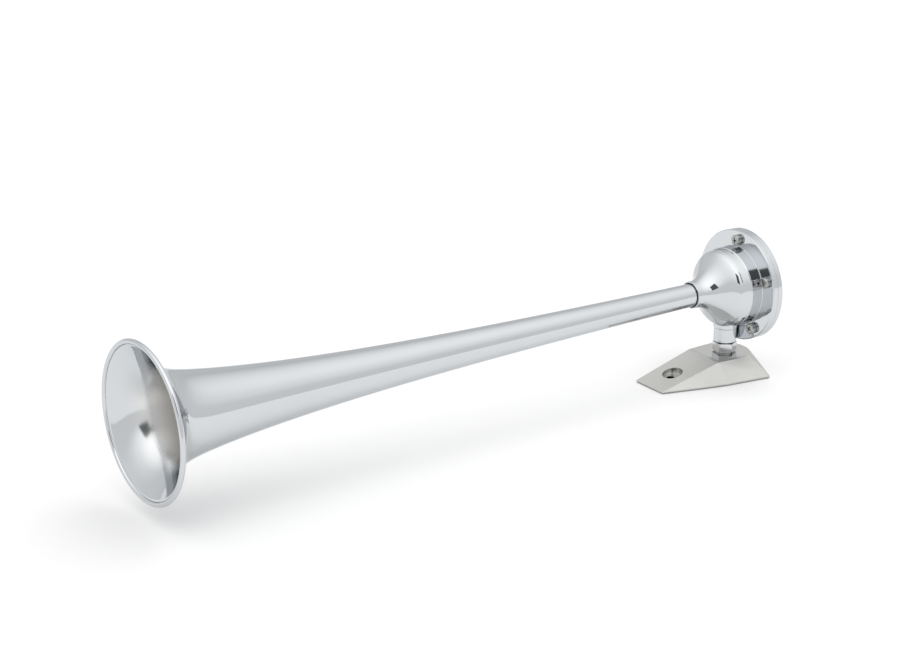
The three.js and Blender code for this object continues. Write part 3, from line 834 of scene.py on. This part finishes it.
def makeBase():
    s = baseSizes
    foot = baseOutline(s["sides"], s["width"] / 2, s["rearBulge"])
    pad = baseOutline(s["plateau"], s["plateauWidth"] / 2, s["plateauBulge"])
    shape = bmesh.new()
    for outline, height in ((foot, s["bottom"]), (foot, s["bottom"] + s["lip"]), (pad, s["height"])):
        for x, y in outline:
            shape.verts.new((x * mm, y * mm, height * mm))
    hull = bmesh.ops.convex_hull(shape, input=shape.verts)
    inside = hull["geom_interior"] + hull["geom_unused"]
    loose = [part for part in inside if isinstance(part, bmesh.types.BMVert)]
    bmesh.ops.delete(shape, geom=loose, context="VERTS")
    flat = math.radians(s["flatAngle"])
    bmesh.ops.dissolve_limit(shape, angle_limit=flat, verts=shape.verts, edges=shape.edges)
    bmesh.ops.recalc_face_normals(shape, faces=shape.faces)
    mesh = bpy.data.meshes.new("hornBase")
    shape.to_mesh(mesh)
    shape.free()
    item = newObject("hornBase", mesh)
    weights = mesh.attributes.new("bevel_weight_edge", "FLOAT", "EDGE")
    padFront = s["length"] * (s["plateau"][0][0] - 0.5)
    top, front = s["height"] - s["creaseReach"], padFront + s["creaseReach"]
    for edge in mesh.edges:
        ends = [mesh.vertices[i].co / mm for i in edge.vertices]
        crease = all(end.z > top and end.y < front for end in ends)
        weights.data[edge.index].value = 1 if crease else s["edge"] / s["crease"]
    bevel = item.modifiers.new("edges", "BEVEL")
    bevel.width = s["crease"] * mm
    bevel.segments = s["bevelSteps"]
    bevel.limit_method = "WEIGHT"
    bakeModifiers(item)
    drilled(item, s["screwHole"], s["through"], s["screwPlace"])
    drilled(item, s["seatRadius"], s["seatFloor"], s["seatPlace"])
    drilled(item, s["inlet"], s["through"], layout["stemSetback"])
    drilled(item, s["stemBore"], s["stemFloor"], layout["stemSetback"])
    dress(item, satinNickel, "satin_nickel", "base_body", "base")


makeTrumpet()
makeHousing()
makeCover()
makeNeckRing()
print("horn and driver made")
makeStem()
makeLockNut()
makeLockWasher()
makeCoverScrews()
makeCoverWashers()
print("stem, nut, screws and washers made")
makeBase()
print("base made")

# Construction pieces that stay get their finish
keptFinishes = {
    "base_gasket": greyRubber, "nozzle": turnedBrass, "front_gasket": fibreSheet,
    "rear_gasket": fibreSheet, "diaphragm": springSteel,
}
for nodeName, material in keptFinishes.items():
    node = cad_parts[nodeName]
    node.data.materials.clear()
    node.data.materials.append(material)
print("kept pieces finished")


# Floor, light and camera

stageSizes = {
    "floorRadius": 30, "floorColour": (0.80, 0.80, 0.80, 1), "floorLift": 0.13, "floorRough": 0.9,
    "floorSteps": 96,
    "greyColour": (0.60, 0.60, 0.60, 1), "greyFrom": 0.75, "greyTo": 1.1,
    "skyStops": [(0.0, 0.80), (0.30, 0.82), (0.55, 0.94), (0.83, 1.22), (1.0, 1.35)], "skyStrength": 1.4,
    "openSide": (0.7716, -0.5393, 0.0), "openReach": 0.8, "farShare": 0.80, "openShare": 1.30,
    "tiltFrom": 0.25, "tiltTo": 0.5,
    "cardAzimuth": -38, "cardElevation": 32, "cardHalf": (0.24, 0.24), "cardBlur": 0.03,
    "cardLevel": (0.06, 0.065, 0.065, 1),
    "lampPower": 8.0, "lampSize": 1.6, "lampPlace": (-0.5, 0.9, 2.4),
}


def shownShare(tree):
    # 1 for what the camera, a mirror or glass sees
    path = addNode(tree, "ShaderNodeLightPath")
    seen = calc(tree, "ADD", path.outputs["Is Camera Ray"], path.outputs["Is Glossy Ray"])
    return calc(tree, "ADD", seen, path.outputs["Is Transmission Ray"], clamp=True)


def along(tree, direction, side):
    node = addNode(tree, "ShaderNodeVectorMath", {0: direction, 1: side}, operation="DOT_PRODUCT")
    return node.outputs["Value"]


def makeFloor():
    s = stageSizes
    shape = bmesh.new()
    bmesh.ops.create_circle(shape, cap_ends=True, segments=s["floorSteps"], radius=s["floorRadius"])
    mesh = bpy.data.meshes.new("studioFloor")
    shape.to_mesh(mesh)
    shape.free()
    floor = newObject("studioFloor", mesh)
    material, tree, shader = newMaterial("paleFloor")
    # towards the camera the floor greys, so that it meets the sky without an edge
    place = addNode(tree, "ShaderNodeTexCoord").outputs["Object"]
    grey = remap(tree, along(tree, place, s["openSide"]), s["greyFrom"], s["greyTo"], 0.0, 1.0)
    tree.links.new(mixColour(tree, grey, s["floorColour"], s["greyColour"]), shader.inputs["Base Color"])
    shader.inputs["Roughness"].default_value = s["floorRough"]
    shader.inputs["Specular IOR Level"].default_value = 0.0
    shader.inputs["Emission Color"].default_value = (1, 1, 1, 1)
    lift = calc(tree, "MULTIPLY", shownShare(tree), s["floorLift"])
    tree.links.new(lift, shader.inputs["Emission Strength"])
    mesh.materials.append(material)


def darkCard(tree, direction):
    # 1 where a direction meets the square card, with a soft edge
    s = stageSizes
    turn = Matrix.Rotation(math.radians(s["cardAzimuth"]), 3, "Z") @ Matrix.Rotation(
        math.radians(-s["cardElevation"]), 3, "Y")
    facing, across, up = (turn @ Vector(side) for side in ((1, 0, 0), (0, 1, 0), (0, 0, 1)))
    share = calc(tree, "GREATER_THAN", along(tree, direction, facing), 0.0)
    for side, half in zip((across, up), s["cardHalf"]):
        offset = calc(tree, "ABSOLUTE", along(tree, direction, side))
        share = calc(tree, "MULTIPLY", share, remap(tree, offset, half - s["cardBlur"], half, 1.0, 0.0))
    return share


def makeSky():
    s = stageSizes
    world = bpy.data.worlds.new("studioSky")
    world.use_nodes = True
    tree = world.node_tree
    direction = addNode(tree, "ShaderNodeTexCoord").outputs["Generated"]
    height = addNode(tree, "ShaderNodeSeparateXYZ", {"Vector": direction}).outputs["Z"]
    ramp = addNode(tree, "ShaderNodeValToRGB", {"Fac": height})
    stops = ramp.color_ramp.elements
    while len(stops) < len(s["skyStops"]):
        stops.new(0.5)
    for stop, (place, level) in zip(stops, s["skyStops"]):
        stop.position = place
        share = level / s["skyStrength"]
        stop.color = (share, share, share, 1)
    seen = mixColour(tree, darkCard(tree, direction), ramp.outputs["Color"], s["cardLevel"])
    # above its low band the sky is brighter on the camera's side and dimmer on the far side
    reach = s["openReach"]
    share = remap(tree, along(tree, direction, s["openSide"]), -reach, reach, s["farShare"], s["openShare"])
    above = remap(tree, height, s["tiltFrom"], s["tiltTo"], 0.0, 1.0)
    tilt = calc(tree, "MULTIPLY", calc(tree, "SUBTRACT", share, 1.0), above)
    background = tree.nodes["Background"]
    tree.links.new(seen, background.inputs["Color"])
    strength = calc(tree, "MULTIPLY", calc(tree, "ADD", tilt, 1.0), s["skyStrength"])
    tree.links.new(strength, background.inputs["Strength"])
    bpy.context.scene.world = world


def makeLamp():
    s = stageSizes
    data = bpy.data.lights.new("softLamp", "AREA")
    data.shape = "DISK"
    data.size = s["lampSize"]
    data.energy = s["lampPower"]
    lamp = newObject("softLamp", data)
    lamp.location = s["lampPlace"]
    lamp.rotation_euler = (-Vector(s["lampPlace"])).to_track_quat("-Z", "Y").to_euler()
    lamp.visible_glossy = False


def makeCamera():
    s = {
        "place": Vector((1.49762, -1.30605, 0.74780)), "target": Vector((-0.01471, -0.24896, 0.08626)),
        "roll": 0.370, "lens": 93.94, "sensor": 36.0, "clipStart": 0.05, "clipEnd": 60,
    }
    data = bpy.data.cameras.new("photoCamera")
    data.lens = s["lens"]
    data.sensor_width = s["sensor"]
    data.sensor_fit = "HORIZONTAL"
    data.clip_start = s["clipStart"]
    data.clip_end = s["clipEnd"]
    camera = newObject("photoCamera", data)
    facing = (s["target"] - s["place"]).to_track_quat("-Z", "Y").to_matrix().to_4x4()
    roll = Matrix.Rotation(math.radians(s["roll"]), 4, "Z")
    camera.matrix_world = Matrix.Translation(s["place"]) @ facing @ roll
    bpy.context.scene.camera = camera


makeFloor()
makeSky()
makeLamp()
makeCamera()
bpy.context.scene.view_settings.view_transform = "Standard"
print("stage ready")
